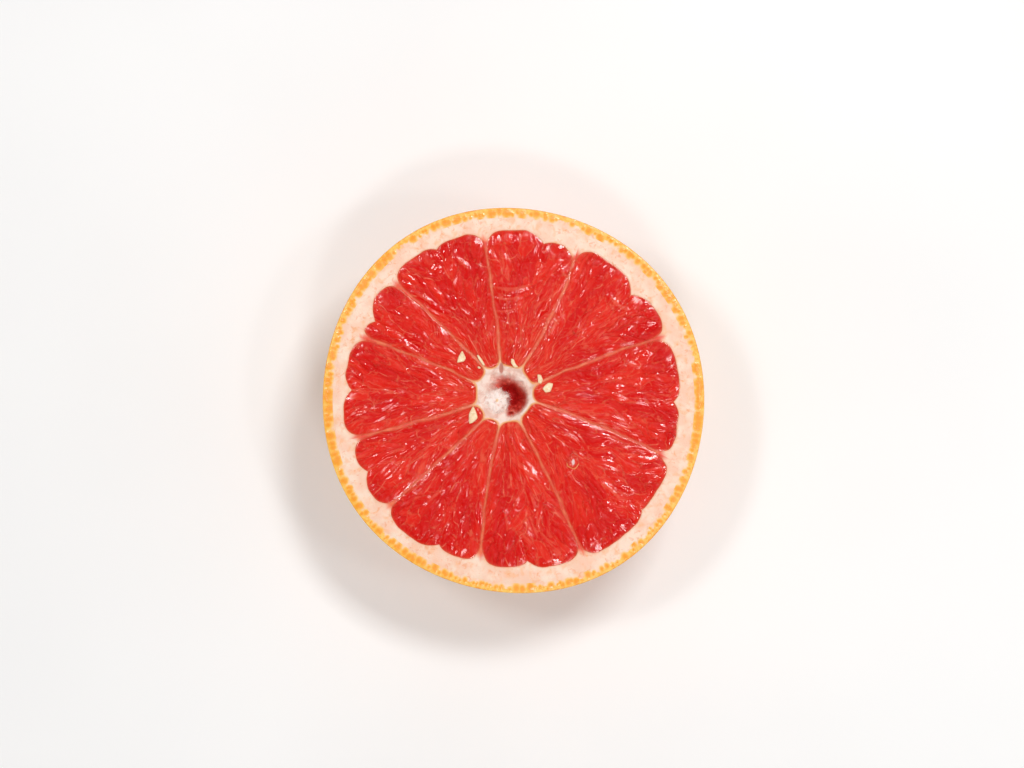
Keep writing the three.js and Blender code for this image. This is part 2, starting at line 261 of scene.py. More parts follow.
def segment_axes(k):
    """A segment's middle, and its half length and half width as vectors from there."""
    right_angle, left_angle = MEMBRANES[k][1], MEMBRANES[(k + 1) % len(MEMBRANES)][1]
    turn = (left_angle - right_angle) % 360
    middle = right_angle + turn / 2
    outwards = polar(1.0, middle)
    return polar(29.0, middle), 19.0 * outwards, 12.0 * turn / 36 * to_left(outwards)


def ellipse(turn, half_long, half_wide):
    """Points round an ellipse: its half length times the cosine plus its half width times the sine."""
    return np.cos(turn)[..., None] * half_long + np.sin(turn)[..., None] * half_wide


def reach_to(depth_at, k, rays, beyond=0.0):
    """How far each ray from a segment's middle runs before the depth falls to nothing, or to less by
    what it goes beyond: a walk outwards in small steps, then halvings of the last one."""
    centre = segment_axes(k)[0]
    low = np.zeros(len(rays))
    step = 0.02
    walking = np.ones(len(rays), bool)
    while walking.any():
        ahead = centre + rays * (low + step)[:, None]
        walking &= depth_at(k, ahead) + beyond > 0
        low = np.where(walking, low + step, low)
    high = low + step
    for _ in range(16):
        half = (low + high) / 2
        inside = depth_at(k, centre + rays * half[:, None]) + beyond > 0
        low, high = np.where(inside, half, low), np.where(inside, high, half)
    return low


def square_to_disc(across, along):
    """Carries a square from -1 to 1 onto the unit disc, each square ring onto a circle, so that the
    cells stay nearly even. Returns the radius and the angle."""
    wide = np.abs(across) > np.abs(along)
    radius = np.where(wide, across, along)
    divisor = np.where(radius == 0, 1, radius)
    angle = np.where(wide, np.pi / 4 * along / divisor, np.pi / 2 - np.pi / 4 * across / divisor)
    return np.abs(radius), angle + np.where(radius < 0, np.pi, 0)


def square_grid(across_count, along_count):
    """The square from -1 to 1 as a grid of points, rows along its second side."""
    across = np.linspace(-1, 1, across_count + 1)[:, None]
    along = np.linspace(-1, 1, along_count + 1)[None, :]
    return np.broadcast_arrays(across, along)


def ring_round(grid):
    """Repeats a grid's outermost points in a ring round it."""
    return np.pad(grid, ((1, 1), (1, 1), (0, 0)), mode="edge")


def square_skirt(grid, drop):
    """Adds a lowered ring round a grid, so that it goes on down as a wall."""
    wide = ring_round(grid)
    edge = np.ones(wide.shape[:2], bool)
    edge[1:-1, 1:-1] = False
    wide[..., 2] -= np.where(edge, drop, 0)
    return wide


def grid_quads(rows, columns, closed=False):
    """Corner numbers of a grid's quads, turned so that a grid whose rows run right and columns run
    up faces the viewer. Closed joins the last row to the first."""
    numbers = np.arange(rows * columns).reshape(rows, columns)
    if closed:
        numbers = np.concatenate([numbers, numbers[:1]])
    corners = [numbers[:-1, :-1], numbers[1:, :-1], numbers[1:, 1:], numbers[:-1, 1:]]
    return np.stack(corners, -1).reshape(-1, 4)


def add_piece(name, points, quads, material, slot, weld=False, **values):
    """Puts points in millimetres and quads into a smooth mesh, with one value or vector to a point
    for each named attribute, and sets it in the fruit. Weld joins the points that coincide."""
    mesh = bpy.data.meshes.new(name)
    points = points.reshape(-1, 3)
    mesh.vertices.add(len(points))
    mesh.vertices.foreach_set("co", (points * MM).astype(np.float32).ravel())
    mesh.loops.add(quads.size)
    mesh.loops.foreach_set("vertex_index", quads.astype(np.int32).ravel())
    mesh.polygons.add(len(quads))
    mesh.polygons.foreach_set("loop_start", np.arange(0, quads.size, 4, dtype=np.int32))
    for label, value in values.items():
        if value.size == len(points):
            attribute = mesh.attributes.new(label, "FLOAT", "POINT")
            attribute.data.foreach_set("value", value.astype(np.float32).ravel())
        else:
            attribute = mesh.attributes.new(label, "FLOAT_VECTOR", "POINT")
            attribute.data.foreach_set("vector", value.astype(np.float32).ravel())
    mesh.update(calc_edges=True)
    if weld:
        joined = bmesh.new()
        joined.from_mesh(mesh)
        bmesh.ops.remove_doubles(joined, verts=joined.verts, dist=1e-7)
        joined.to_mesh(mesh)
        joined.free()
    mesh.validate()
    mesh.shade_smooth()
    mesh.materials.append(material)
    piece = bpy.data.objects.new(name, mesh)
    bpy.context.collection.objects.link(piece)
    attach(piece, "root")
    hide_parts("grapefruit_half")


# The relief of the cut face

HOLLOW_OFFSET = np.array([1.5, -0.6])  # from the core's centre
HOLLOW_ANGLE = -51
HOLLOW_HALF_LENGTH = 7.6
HOLLOW_HALF_WIDTHS = (3.8, 5.2)  # on the mound's side, where it is steep, and on the other
HOLLOW_DEPTH = 10.0
PIT_OFFSET = np.array([2.0, -5.6])
MOUND_OFFSET = np.array([-2.2, -1.9])
MOUND_RADIUS = 3.6
NICK_OFFSET = np.array([-1.0, 7.3])
NICK_HALF = (0.6, 1.6)
NICK_DEPTH = 0.5


def nick_share(points):
    """The slit at the core's upper cusp: 1 in its middle, falling off as a bell curve both ways."""
    return np.exp(-(((points - CORE_CENTRE - NICK_OFFSET) / NICK_HALF) ** 2).sum(-1))


def core_sink(points):
    """How much lower the face lies towards the core, and at its cusps."""
    distance = length_of(points - CORE_CENTRE)
    return CORE_SINK * (1 - smoothstep(CORE_EDGE - 0.3, CORE_EDGE + 1.9, distance))


def pith_height(k, points):
    """The cut pith and the membranes' tops: nearly flat, rounded over where they drop to the pulp."""
    outside = -segment_depth(k, points)
    rounding = 0.03 * (1 - smoothstep(0, 0.3, outside))
    grain = cut_grain(points) * smoothstep(0.2, 1.0, outside)
    return FACE - rounding - core_sink(points) + grain - NICK_DEPTH * nick_share(points)


def vesicle_seeds(k, random, slimness):
    """Where a segment's vesicles lie: rows at growing distances from the core, shorter towards the
    rind, each with as many vesicles as its width holds, all a little out of place. A vesicle points
    away from the core and fans out to the nearer membrane. Returns its middle, direction, half
    length and half width."""
    row_shares = np.array([-0.03, 0.18, 0.38, 0.56, 0.72, 0.86, 0.97, 1.06])
    row_lengths = np.gradient(row_shares) * 45
    widths = np.interp(row_shares, [0, 0.3, 0.7, 1], [1.3, 2.1, 3.1, 3.5]) * slimness
    middles, directions, halves = [], [], []
    for share, row_length, width in zip(row_shares, row_lengths, widths):
        right = membrane_line(k, (share, share), 1)[0]
        left = membrane_line(k + 1, (share, share), 1)[0]
        count = max(2, round(np.linalg.norm(left - right) / width))
        t = (np.arange(count) + 0.5 + random.uniform(-0.3, 0.3, count)) / count
        place = right + t[:, None] * (left - right)
        outwards = place - CORE_CENTRE
        outwards /= length_of(outwards)[:, None]
        place = place + outwards * (random.uniform(-0.42, 0.42, count) * row_length)[:, None]
        fan = 22 * (2 * t - 1) * smoothstep(0.05, 0.5, share)
        stray = random.normal(0, 8 + 10 * max(share, 0), count)
        middles.append(place)
        directions.append(turned(outwards, np.radians(fan + stray)))
        halves.append(np.stack([row_length * random.uniform(0.75, 1.45, count) / slimness,
                                width * random.uniform(0.38, 0.8, count)], -1))
    return np.concatenate(middles), np.concatenate(directions), np.concatenate(halves)


def vesicles(k, points, seed, slimness=1.0):
    """Shares a segment out among its vesicles. To each, a point's distance is that in an ellipse
    along the vesicle, which is slimmer at its inner end; the point belongs to the nearest, and the
    wall runs where the two nearest are as far. Returns the height of the pillow between the walls,
    the distance to the wall, a random tone for each vesicle, and the place along and across it."""
    random = np.random.default_rng(seed + k)
    middles, directions, halves = vesicle_seeds(k, random, slimness)
    moved = points + 0.9 * wander(points, 5.5, 21) + 0.12 * wander(points, 1.6, 23)
    offset = moved[:, None, :] - middles
    along = (offset * directions).sum(-1)
    across = offset[..., 1] * directions[:, 0] - offset[..., 0] * directions[:, 1]
    taper = 1.0 + 0.42 * np.clip(along / halves[:, 0], -1, 1)
    distance = np.hypot(along / halves[:, 0], across / (halves[:, 1] * taper))
    order = np.argpartition(distance, 1, axis=1)[:, :2]
    pick = np.arange(len(points))
    two = np.take_along_axis(distance, order, 1)
    nearest = np.where(two[:, 0] <= two[:, 1], order[:, 0], order[:, 1])
    width = halves[nearest, 1]
    wall = np.abs(two[:, 0] - two[:, 1]) * width * 0.62
    lift = random.normal(0, 0.06, len(middles))[nearest]
    tilt = random.normal(0, 0.08, (len(middles), 2))[nearest]
    place = np.stack([along[pick, nearest], across[pick, nearest]], -1)
    pillow = 1 - np.exp(-((wall / (0.62 * width)) ** 2))
    height = pillow * (0.135 * width + lift + np.clip((place * tilt).sum(-1), -0.22, 0.22))
    tone = random.uniform(0, 1, len(middles))[nearest]
    return height, wall, tone, np.concatenate([place, 7.3 * nearest[:, None]], -1)


def flow(points, length, width, seed):
    """Noise drawn out along the way from the core to the rind: the plane's noise taken at the
    distance from the core and at the arc round it, both bent a little by noise."""
    offset = points - CORE_CENTRE
    distance = length_of(offset)
    bend = 0.9 * noise(points, 7.0, 36) + 0.3 * noise(points, 2.6, 37)
    arc = angle_of(offset) * 24.0 + bend
    return noise(np.stack([distance / length, arc / width], -1), 1.0, seed)


def strand_distance(points, length, width, seed):
    """Distance to long strands that run where the flow passes through nothing: its size over the
    length of its slope, taken from two points a short step away."""
    step = 0.05
    here = flow(points, length, width, seed)
    rise_x = flow(points + (step, 0), length, width, seed) - here
    rise_y = flow(points + (0, step), length, width, seed) - here
    return np.abs(here) * step / np.maximum(np.hypot(rise_x, rise_y), 1e-4)


def divide_line(k, points):
    """Distance to the faint line that runs inwards from a segment's notch."""
    _, notch_angle, notch, _, reach = LOBES[k]
    start = polar(notch, notch_angle)
    inwards = (CORE_CENTRE - start) / np.linalg.norm(CORE_CENTRE - start)
    share = np.clip((points - start) @ inwards, -1, reach)
    bend = 0.6 * np.sin(share / 3.5)[..., None] * to_left(inwards)
    return length_of(points - start - share[..., None] * inwards - bend)


# Single vesicles that lie across the others and shine along their length: where each begins and
# ends, how far it bows to its left, and its half width
LOOSE_VESICLES = [
    (2.3, -17.4, 8.4, -21.6, -1.6, 0.9), (-8.0, 33.4, 7.6, 34.4, -2.2, 0.9),
    (-7.6, 30.2, 3.8, 30.6, -1.5, 0.7), (-7.2, 26.0, 2.2, 27.2, -1.2, 0.7),
    (-17.2, 41.0, -11.8, 36.2, 0.3, 0.7), (-39.0, 2.8, -31.6, 1.4, 0.5, 0.8),
    (12.6, 39.0, 18.4, 33.0, -0.8, 0.8), (26.8, 30.6, 33.4, 25.2, -0.7, 0.9),
    (30.4, 12.2, 38.2, 9.8, -0.9, 0.8), (21.8, -6.4, 30.8, -10.2, 0.8, 0.8),
    (24.0, -23.2, 31.2, -29.6, 0.9, 0.9), (9.2, -31.0, 15.8, -36.2, 1.0, 0.8),
    (-3.4, -30.4, -2.2, -38.4, 0.9, 0.8), (-18.0, -24.4, -25.6, -31.0, -0.9, 0.8),
    (-29.4, -13.6, -36.8, -16.4, -0.8, 0.8), (-24.8, 12.8, -32.6, 17.4, 0.8, 0.8),
    (-22.6, 26.6, -29.4, 31.2, -0.6, 0.7), (12.8, -9.4, 19.6, -13.6, 1.0, 0.7),
    (17.2, -19.6, 14.9, -21.9, 0.2, 0.45), (-12.6, -9.8, -18.6, -14.8, 0.8, 0.7),
    (10.6, 17.6, 14.6, 24.4, 0.9, 0.7),
]


def loose_vesicles(points):
    """How high the loose vesicles stand: along each, a ridge over the parabola between its ends, as
    high as a bell curve of the distance across, tapering to nothing at both ends."""
    height = np.zeros(len(points))
    for x, y, x_end, y_end, bow, half_width in LOOSE_VESICLES:
        step = np.array([x_end - x, y_end - y])
        length = np.linalg.norm(step)
        along = (points - (x, y)) @ step / length**2
        across = (step[0] * (points[:, 1] - y) - step[1] * (points[:, 0] - x)) / length
        across = across - 4 * bow * along * (1 - along)
        taper = np.clip(4 * along * (1 - along), 0, 1) ** 0.6
        ridge = 0.3 * max(half_width, 0.8) * taper * np.exp(-((across / half_width) ** 2))
        height = np.maximum(height, ridge)
    return height


def pulp_relief(k, flat):
    """How high a segment's pulp stands: the vesicles' pillows on a low swell, with a roll along the
    edge, a crease at the notch and the loose vesicles on top. Returns the height above the cut and
    what the finish reads at each point."""
    depth = segment_depth(k, flat)
    pillow, wall, tone, place = vesicles(k, flat, 300)
    threads, thread, _, _ = vesicles(k, flat, 500, slimness=0.8)
    divide = divide_line(k, flat)
    distance = length_of(flat - CORE_CENTRE)
    loose = loose_vesicles(flat)
    rolled = smoothstep(-0.6, 3.0, depth) * (0.1 + 0.1 * smoothstep(20, 44, distance))
    swell = 0.17 * noise(flat, 8.0, 31) + 0.08 * noise(flat, 3.4, 32)
    crease = -0.2 * np.exp(-((divide / 0.6) ** 2))
    ripples = 0.05 * noise(flat, 0.75, 33) * smoothstep(0.1, 0.6, noise(flat, 3.0, 34))
    height = -PULP_SINK + rolled + (swell + crease + ripples + loose) * smoothstep(0, 1.5, depth)
    height += (pillow + 0.3 * threads) * (1 - 1.6 * loose) * smoothstep(-0.2, 1.6, depth)
    height -= 0.5 * np.maximum(-depth, 0)
    height = smooth_min(height, np.full_like(height, PULP_CREST), 0.5) - core_sink(flat)
    return height, {
        "wall": np.minimum(wall, 0.8 * divide + 0.02), "thread": thread, "tone": tone,
        "depth": depth, "vesicle": place, "core_distance": distance, "loose": loose,
        "strand": strand_distance(flat, 11.0, 2.3, 38), "ridge": strand_distance(flat, 6.0, 1.7, 41),
        "veil": flow(flat, 12.0, 3.4, 39),
    }


def build_pulp(k, material):
    """One segment of pulp: a square grid carried onto the segment's outline as onto a disc, with its
    relief. It goes on a little under the pith and then down as a wall."""
    centre, half_long, half_wide = segment_axes(k)
    turns = np.linspace(0, 2 * np.pi, 721)[:-1]
    reach = reach_to(segment_depth, k, ellipse(turns, half_long, half_wide), UNDER_PITH)
    rows = round(2.15 * np.linalg.norm(half_long) / PULP_STEP)
    columns = round(1.95 * np.linalg.norm(half_wide) / PULP_STEP)
    radius, turn = square_to_disc(*square_grid(rows, columns))
    out = radius * np.interp(turn, turns, reach, period=2 * np.pi)
    flat = centre + out[..., None] * ellipse(turn, half_long, half_wide)
    height, values = pulp_relief(k, flat.reshape(-1, 2))
    points = square_skirt(np.dstack([flat, FACE + height.reshape(out.shape)]), SKIRT)
    values = {name: ring_round(value.reshape(*out.shape, -1)) for name, value in values.items()}
    add_piece(f"pulp_{k + 1:02d}", points, grid_quads(*points.shape[:2]), material, "pulp", **values)


def sector_corners(k):
    """Where the sector's membranes meet the skin band and the core's edge."""
    corners = []
    for line in (membrane_line(k, count=400), membrane_line(k + 1, count=400)):
        band = rind_radius(angle_of(line)) - SKIN_BAND - length_of(line)
        core = length_of(line - CORE_CENTRE) - CORE_EDGE
        corners += [line[np.abs(band).argmin()], line[np.abs(core).argmin()]]
    return np.array(corners)


def pith_collar(k):
    """What surrounds one segment of pulp, out to the middles of its membranes, the skin band and the
    core: rays from the segment's middle by shares of the way from its outline to its sector's.
    Returns the points, how far they lie outside the segment and how far from its membranes' middles."""
    centre, half_long, half_wide = segment_axes(k)
    corners = sector_corners(k) - centre
    corner_turns = np.arctan2(corners @ half_wide / (half_wide @ half_wide),
                              corners @ half_long / (half_long @ half_long))
    count = round(118 / PITH_STEP)
    turns = np.sort(np.concatenate([np.linspace(-np.pi, np.pi, count, endpoint=False), corner_turns]))
    rays = ellipse(turns, half_long, half_wide)
    inner = reach_to(segment_depth, k, rays)
    outer = reach_to(sector_depth, k, rays)
    out = inner[:, None] + PITH_SHARES * (outer - inner)[:, None]
    flat = centre + out[..., None] * rays[:, None, :]
    height = pith_height(k, flat)
    height[:, 0] -= SKIRT
    return np.dstack([flat, height]), -segment_depth(k, flat), np.minimum(*sides(k, flat))


def build_pith(material):
    """The ring of pith with the membranes: the collars of all segments, which meet along the
    membranes' middles, as one mesh."""
    points, quads, outside, near_side, total = [], [], [], [], 0
    for k in SEGMENTS:
        collar, depth, side = pith_collar(k)
        points.append(collar.reshape(-1, 3))
        quads.append(grid_quads(*collar.shape[:2], closed=True)[:, ::-1] + total)
        outside.append(depth.ravel())
        near_side.append(side.ravel())
        total += len(points[-1])
    points = np.concatenate(points)
    flat = points[:, :2]
    add_piece("pith", points, np.concatenate(quads), material, "pith",
              outside=np.concatenate(outside), near_side=np.concatenate(near_side),
              core_distance=length_of(flat - CORE_CENTRE), nick=nick_share(flat))


def core_height(flat):
    """The spongy core: it sinks in a hollow, steep on the mound's side and gentle on the other,
    rises again on the mound, and is split at the top; noise tears its edges."""
    offset = flat - CORE_CENTRE
    radius = length_of(offset) / CORE_EDGE
    inner = 1 - smoothstep(0.72, 1.0, radius)
    ragged = offset + 0.42 * wander(flat, 1.3, 51, 4)
    along = polar(1.0, HOLLOW_ANGLE)
    lengthways = (ragged - HOLLOW_OFFSET) @ along
    sideways = (ragged - HOLLOW_OFFSET) @ to_left(along)
    half_width = np.where(sideways < 0, *HOLLOW_HALF_WIDTHS)
    hollow = 1 - smoothstep(0.12, 1.08, np.hypot(lengthways / HOLLOW_HALF_LENGTH, sideways / half_width))
    hollow *= 0.72 + 0.28 * smoothstep(-4.5, 1.0, lengthways)
    pit = 0.5 * np.exp(-((length_of(ragged - PIT_OFFSET) / 1.1) ** 2))
    from_mound = length_of(ragged - MOUND_OFFSET) / MOUND_RADIUS
    mound = 1 - smoothstep(0.84, 1.0, from_mound)
    dish = 0.5 * (1 - smoothstep(0.3, 1.0, radius))
    fluff = (0.12 + 0.16 * mound) * layered_noise(flat, 1.5, 47, 4) * inner
    drop = HOLLOW_DEPTH * np.maximum(hollow, pit) * (1 - smoothstep(0.82, 1.0, radius))
    sunk = core_sink(flat) + (dish + drop) * (1 - mound) + NICK_DEPTH * nick_share(flat)
    return FACE - sunk + fluff


def build_core(material):
    """The core: a square grid carried onto a disc, at the core's height. The spokes are the direction
    from the mound, drawn out along the distance from it."""
    count = round(2 * CORE_EDGE / CORE_STEP)
    radius, turn = square_to_disc(*square_grid(count, count))
    offset = circle_point(CORE_EDGE * radius, turn)
    flat = CORE_CENTRE + offset
    height = core_height(flat)
    points = np.dstack([flat, height])
    from_mound = offset - MOUND_OFFSET
    distance = length_of(from_mound)[..., None]
    spokes = np.concatenate([3 * from_mound / (distance + 0.4), 0.45 * distance], -1)
    add_piece("core", points, grid_quads(*points.shape[:2]), material, "core",
              lowness=FACE - height, mound=distance, spokes=spokes, nick=nick_share(flat))


# The skin

REST_TILT = math.asin(REST_RADIUS / EQUATOR_RADIUS)  # the angle at which the flat spot begins
PORES = 6900
PORE_RADIUS = 0.5
PORE_DEPTH = 0.16
LUMP_DEPTH = 0.35
GLAND_DOME = 0.07

# The rows of cut glands: how far apart, how deep below the outline, how scattered, how many are left
GLAND_ROWS = [(1.7, 1.3, 0.22, 0.85), (2.4, 1.8, 0.22, 0.6)]


def bowl_point(radius, turn):
    """The bowl: an ellipse turned about the axis, a little out of round towards the rim, flat inside
    the resting spot. The disc's radius becomes the angle from the pole so that areas stay even."""
    tilt = np.arccos(1 - np.clip(radius, 0, 1) ** 2)
    half_axis = FACE / math.cos(REST_TILT)
    flat_radius = EQUATOR_RADIUS * np.sin(tilt)
    share = (flat_radius / EQUATOR_RADIUS) ** 2
    swell = 1 + share * (rind_radius(turn) / EQUATOR_RADIUS - 1)
    height = np.maximum(FACE - half_axis * np.cos(tilt), 0)
    return np.concatenate([circle_point(flat_radius * swell, turn), height[..., None]], -1)


def bowl_share(height):
    """The disc radius at which the bowl reaches a height."""
    return math.sqrt(1 - (FACE - height) * math.cos(REST_TILT) / FACE)


def pore_places(random):
    """The pores: a golden-angle spiral round the bowl's pole in which each turn gains the same area,
    each pore a little out of place."""
    number = np.arange(PORES) + 0.5
    share = (number + random.normal(0, 0.5, PORES) * np.sqrt(number)) / PORES
    angle = number * math.pi * (3 - math.sqrt(5)) + random.normal(0, 0.4, PORES) / np.sqrt(number)
    return bowl_point(np.sqrt(np.clip(share, 0, 1)), angle)


def nearest_distance(points, targets, cell):
    """Distance from each point to the nearest target, by sorting the targets into cubes and looking
    in the cubes round each point."""
    lowest = np.minimum(points.min(0), targets.min(0)) - 2 * cell
    size = np.ceil((np.maximum(points.max(0), targets.max(0)) - lowest) / cell).astype(int) + 3
    strides = np.array([size[1] * size[2], size[2], 1])
    target_code = np.floor((targets - lowest) / cell).astype(int) @ strides
    order = np.argsort(target_code)
    sorted_code, sorted_targets = target_code[order], targets[order]
    best = np.full(len(points), 4.0 * cell)
    home = np.floor((points - lowest) / cell).astype(int)
    for shift in np.ndindex(3, 3, 3):
        wanted = (home + np.array(shift) - 1) @ strides
        first = np.searchsorted(sorted_code, wanted, "left")
        last = np.searchsorted(sorted_code, wanted, "right")
        for step in range(int((last - first).max())):
            number = np.minimum(first + step, len(targets) - 1)
            distance = np.linalg.norm(points - sorted_targets[number], axis=-1)
            best = np.where(first + step < last, np.minimum(best, distance), best)
    return best


def build_rind(material):
    """The outer skin: a square grid carried onto a disc and from there onto the bowl, dimpled at
    every pore, with low lumps. It ends just below the cut, where the cut band's edge takes over."""
    count = 2 * round(math.sqrt(EQUATOR_RADIUS * FACE * 2 * math.pi) / SKIN_STEP / 2)
    radius, turn = square_to_disc(*square_grid(count, count))
    points = bowl_point(radius * bowl_share(FACE - RIM_ROUNDING), turn)
    pores = pore_places(np.random.default_rng(61))
    pore = nearest_distance(points.reshape(-1, 3), pores, 2.4).reshape(radius.shape)
    inwards = np.array([0, 0, FACE * 0.7]) - points
    inwards /= np.linalg.norm(inwards, axis=-1, keepdims=True)
    plan = points[..., :2] * (1 + (FACE - points[..., 2:]) / 90)
    fade = smoothstep(0, 3, points[..., 2]) * (1 - smoothstep(FACE - 4, FACE - 0.5, points[..., 2]))
    lumps = LUMP_DEPTH * (1 + layered_noise(plan, 14.0, 62)) * fade
    dimple = PORE_DEPTH * np.exp(-((pore / PORE_RADIUS) ** 2))
    dimple *= np.maximum(fade, 0.35 * (points[..., 2] > 0.4))
    scar = SCAR_DEPTH * (1 - smoothstep(0.5, 1.0, length_of(points[..., :2]) / SCAR_RADIUS))
    points = points + inwards * (lumps + dimple)[..., None]
    points[..., 2] += scar
    quads = grid_quads(*points.shape[:2])[:, ::-1]
    add_piece("rind", points, quads, material, "rind", pore=pore)


def gland_places(random):
    """The oil glands that the knife cut: two loose rows round the cut, the inner one with gaps."""
    places, sizes = [], []
    for spacing, deep, spread, kept in GLAND_ROWS:
        count = round(2 * np.pi * EQUATOR_RADIUS / spacing)
        angle = (np.arange(count) + random.uniform(-0.36, 0.36, count)) * 2 * np.pi / count
        crowding = kept + 0.5 * noise(polar(EQUATOR_RADIUS, np.degrees(angle)), 16.0, 73)
        angle = angle[random.uniform(0, 1, count) < crowding]
        depth = deep + random.normal(0, spread, len(angle))
        places.append(circle_point(rind_radius(angle) - depth, angle))
        swelling = 1 + 0.35 * noise(places[-1], 20.0, 74)
        sizes.append(swelling * (0.5 + 0.85 * random.uniform(0, 1, len(angle)) ** 1.3))
    return np.concatenate(places), np.concatenate(sizes)


def build_cut_band(material):
    """The cut edge of the skin: a ring across the skin band, over the rounded rim and down to where
    the outer skin begins, with a low dome at each gland."""
    angle = np.linspace(0, 2 * np.pi, 1500, endpoint=False)[:, None]
    across = np.linspace(SKIN_BAND, RIM_ROUNDING, 15)
    corner = np.linspace(0, np.pi / 2, 6)[1:]
    depth = np.concatenate([across, RIM_ROUNDING * (1 - np.sin(corner))])[None, :]
    drop = np.concatenate([0 * across, RIM_ROUNDING * (1 - np.cos(corner))])[None, :]
    flat = circle_point(rind_radius(angle) - depth, angle)
    places, sizes = gland_places(np.random.default_rng(71))
    gland = np.full(flat.shape[:2], 9.0)
    for place, size in zip(places, sizes):
        away = (angle[:, 0] - angle_of(place) + np.pi) % (2 * np.pi) - np.pi
        near = np.abs(away) < 0.05
        ray = place / np.linalg.norm(place)
        offset = flat[near] - place
        outwards = offset @ ray
        sideways = offset[..., 1] * ray[0] - offset[..., 0] * ray[1]
        distance = np.hypot(sideways, outwards / 1.25) / size + 0.14 * noise(flat[near], 0.7, 72)
        gland[near] = np.minimum(gland[near], distance)
    level = smoothstep(SKIN_BAND, SKIN_BAND - 0.4, depth) * (drop == 0)
    dome = GLAND_DOME * np.sqrt(np.clip(1 - gland**2, 0, 1)) * level
    grain = cut_grain(flat) * (1 - smoothstep(1.6, 0.8, depth))
    points = np.dstack([flat, FACE + grain + dome - drop])
    quads = grid_quads(*points.shape[:2], closed=True)[:, ::-1]
    add_piece("cut_skin", points, quads, material, "rind", gland=gland,
              skin_depth=np.broadcast_to(depth, gland.shape))


# Seeds and the core's fibres

# Each seed's outline round from its tip, seen from above, and how thick it is
SEEDS = [
    ([(-14.6, 14.4), (-15.7, 12.5), (-16.2, 10.7), (-15.0, 10.9), (-14.1, 11.1), (-13.5, 12.1)], 1.0),
    ([(-10.5, 12.9), (-9.9, 11.6), (-8.5, 9.8), (-8.1, 10.1), (-8.9, 11.6), (-10.0, 13.1)], 0.7),
    ([(-10.4, 9.6), (-9.9, 9.0), (-9.2, 9.2), (-9.8, 9.8)], 0.6),
    ([(-0.7, 12.0), (-0.8, 10.8), (0.3, 9.2), (1.4, 9.5), (0.6, 10.4), (0.1, 11.8)], 0.9),
    ([(6.8, 7.5), (6.9, 6.3), (7.0, 5.0), (7.9, 4.7), (8.4, 5.9), (7.9, 7.3)], 0.9),
    ([(8.2, 3.3), (9.1, 2.2), (10.6, 2.5), (11.4, 4.9), (9.9, 5.1), (8.9, 4.3)], 1.1),
    ([(-11.5, -1.4), (-12.8, -3.9), (-12.7, -6.7), (-11.6, -6.4), (-10.1, -5.0), (-10.7, -3.0)], 1.0),
    ([(16.6, -14.8), (15.0, -17.4), (15.3, -18.9), (17.5, -19.8), (18.9, -17.9), (18.3, -15.8)], 0.9),
]
SAC = 7  # the last of them still sits in its sac
SEED_POINTS = 60  # round each outline
SEED_MIDDLE = 0.25  # how high above the cut a seed is widest

FIBRES = 760
FIBRE_RINGS = 6
FIBRE_SIDES = 3
FIBRE_RADIUS = 0.06
FIBRE_LENGTHS = (0.4, 1.3)


def build_seed(number, material):
    """An undeveloped seed: its outline drawn round the corners and evened out, then drawn in to a
    point above and below, as high as the cosine where it is as wide as the sine, with wrinkles."""
    corners, thickness = SEEDS[number]
    corners = np.array(corners)
    count = len(corners)
    share = np.arange(SEED_POINTS) / SEED_POINTS * count
    outline = np.stack([np.interp(share, np.arange(count), side, period=count) for side in corners.T], -1)
    for _ in range(5):
        outline = (np.roll(outline, 1, 0) + outline + np.roll(outline, -1, 0)) / 3
    middle = outline.mean(0)
    tilt = np.linspace(0, np.pi, 19)
    flat = middle + (np.sin(tilt) ** 0.7)[None, :, None] * (outline - middle)[:, None]
    wrinkle = 1 + 0.5 * layered_noise(flat, 1.1, 91) + 0.2 * noise(flat, 0.4, 92)
    up = 0.5 * thickness * np.cos(tilt) * wrinkle + SEED_MIDDLE
    points = np.dstack([flat, FACE + np.minimum(up, SEED_RISE)])
    # painted highlight: a pale patch a little off the seed's middle, which the sac's finish paints nearly
    # white
    shine = np.exp(-(((flat - middle + (-0.1, 0.1)) / (0.5, 1.0)) ** 2).sum(-1))
    lower = (middle - flat)[..., 1] / np.ptp(outline[:, 1])
    quads = grid_quads(*points.shape[:2], closed=True)[:, ::-1]
    add_piece(f"seed_{number + 1}", points, quads, material, "seed", weld=True,
              edge=np.broadcast_to(np.sin(tilt), flat.shape[:2]), shine=shine, lower=lower)


